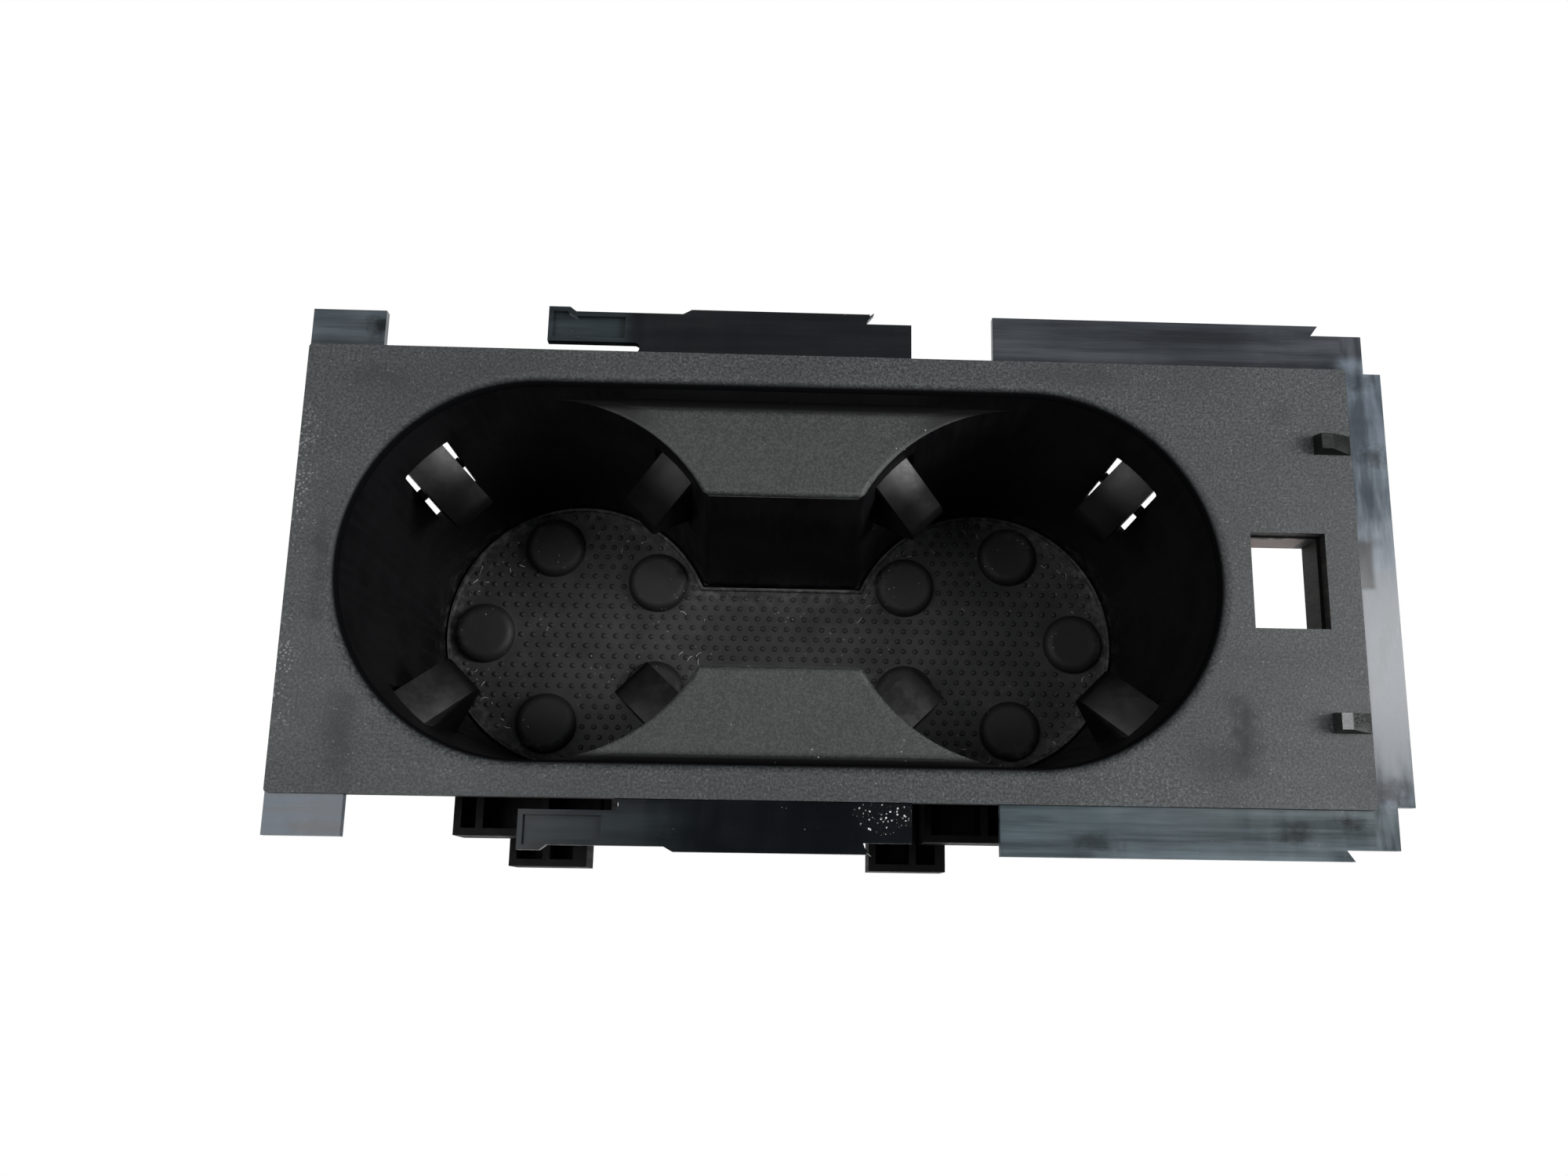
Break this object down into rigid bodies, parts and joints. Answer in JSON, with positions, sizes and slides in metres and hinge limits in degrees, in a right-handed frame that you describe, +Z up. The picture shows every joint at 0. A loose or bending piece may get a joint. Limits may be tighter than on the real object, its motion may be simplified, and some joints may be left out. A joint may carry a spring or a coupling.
{
  "type": "car cup holder",
  "caption": "Double cup holder insert for a car console: two joined tapered cups, sprung grip flaps, studded rubber mat, snap-in flanged plate.",
  "frame": {"origin": "underside of the well's floor, halfway between the two cups", "axes": "+X along both cups towards the end with the window, +Y to the far side in the picture, +Z up out of the cups"},
  "size_m": [0.2238, 0.1164, 0.0803],
  "materials": {
    "housing_plastic": "fine grained moulded plastic",
    "mat_rubber": "matt studded rubber",
    "flap_plastic": "satin moulded plastic",
    "pin_steel": "drawn steel wire",
    "spring_steel": "spring steel wire"
  },
  "bodies": {
    "housing": {"housing": "housing_plastic", "rubber_mat": "mat_rubber", "pin_left_outer_back": "pin_steel", "pin_left_inner_back": "pin_steel", "pin_left_inner_front": "pin_steel", "pin_left_outer_front": "pin_steel", "pin_right_outer_back": "pin_steel", "pin_right_inner_back": "pin_steel", "pin_right_inner_front": "pin_steel", "pin_right_outer_front": "pin_steel", "spring_left_outer_back": "spring_steel", "spring_left_inner_back": "spring_steel", "spring_left_inner_front": "spring_steel", "spring_left_outer_front": "spring_steel", "spring_right_outer_back": "spring_steel", "spring_right_inner_back": "spring_steel", "spring_right_inner_front": "spring_steel", "spring_right_outer_front": "spring_steel"},
    "flap_left_outer_back": {"flap_left_outer_back": "flap_plastic"},
    "flap_left_inner_back": {"flap_left_inner_back": "flap_plastic"},
    "flap_left_inner_front": {"flap_left_inner_front": "flap_plastic"},
    "flap_left_outer_front": {"flap_left_outer_front": "flap_plastic"},
    "flap_right_outer_back": {"flap_right_outer_back": "flap_plastic"},
    "flap_right_inner_back": {"flap_right_inner_back": "flap_plastic"},
    "flap_right_inner_front": {"flap_right_inner_front": "flap_plastic"},
    "flap_right_outer_front": {"flap_right_outer_front": "flap_plastic"}
  },
  "joints": [
    {"name": "flap_left_outer_back_pivot", "type": "hinge", "parent": "housing", "child": "flap_left_outer_back", "pos_m": [-0.0804, 0.0302, 0.0584], "axis": [0.7071, 0.7071, 0], "range_deg": [0, 38], "stiffness_Nm_per_rad": 0.03, "springref_deg": -20.05, "deforming": ["spring_left_outer_back"]},
    {"name": "flap_left_inner_back_pivot", "type": "hinge", "parent": "housing", "child": "flap_left_inner_back", "pos_m": [-0.02, 0.0302, 0.0584], "axis": [0.7071, -0.7071, 0], "range_deg": [0, 38], "stiffness_Nm_per_rad": 0.03, "springref_deg": -20.05, "deforming": ["spring_left_inner_back"]},
    {"name": "flap_left_inner_front_pivot", "type": "hinge", "parent": "housing", "child": "flap_left_inner_front", "pos_m": [-0.02, -0.0302, 0.0584], "axis": [-0.7071, -0.7071, 0], "range_deg": [0, 38], "stiffness_Nm_per_rad": 0.03, "springref_deg": -20.05, "deforming": ["spring_left_inner_front"]},
    {"name": "flap_left_outer_front_pivot", "type": "hinge", "parent": "housing", "child": "flap_left_outer_front", "pos_m": [-0.0804, -0.0302, 0.0584], "axis": [-0.7071, 0.7071, 0], "range_deg": [0, 38], "stiffness_Nm_per_rad": 0.03, "springref_deg": -20.05, "deforming": ["spring_left_outer_front"]},
    {"name": "flap_right_outer_back_pivot", "type": "hinge", "parent": "housing", "child": "flap_right_outer_back", "pos_m": [0.0804, 0.0302, 0.0584], "axis": [0.7071, -0.7071, 0], "range_deg": [0, 38], "stiffness_Nm_per_rad": 0.03, "springref_deg": -20.05, "deforming": ["spring_right_outer_back"]},
    {"name": "flap_right_inner_back_pivot", "type": "hinge", "parent": "housing", "child": "flap_right_inner_back", "pos_m": [0.02, 0.0302, 0.0584], "axis": [0.7071, 0.7071, 0], "range_deg": [0, 38], "stiffness_Nm_per_rad": 0.03, "springref_deg": -20.05, "deforming": ["spring_right_inner_back"]},
    {"name": "flap_right_inner_front_pivot", "type": "hinge", "parent": "housing", "child": "flap_right_inner_front", "pos_m": [0.02, -0.0302, 0.0584], "axis": [-0.7071, 0.7071, 0], "range_deg": [0, 38], "stiffness_Nm_per_rad": 0.03, "springref_deg": -20.05, "deforming": ["spring_right_inner_front"]},
    {"name": "flap_right_outer_front_pivot", "type": "hinge", "parent": "housing", "child": "flap_right_outer_front", "pos_m": [0.0804, -0.0302, 0.0584], "axis": [-0.7071, -0.7071, 0], "range_deg": [0, 38], "stiffness_Nm_per_rad": 0.03, "springref_deg": -20.05, "deforming": ["spring_right_outer_front"]}
  ]
}
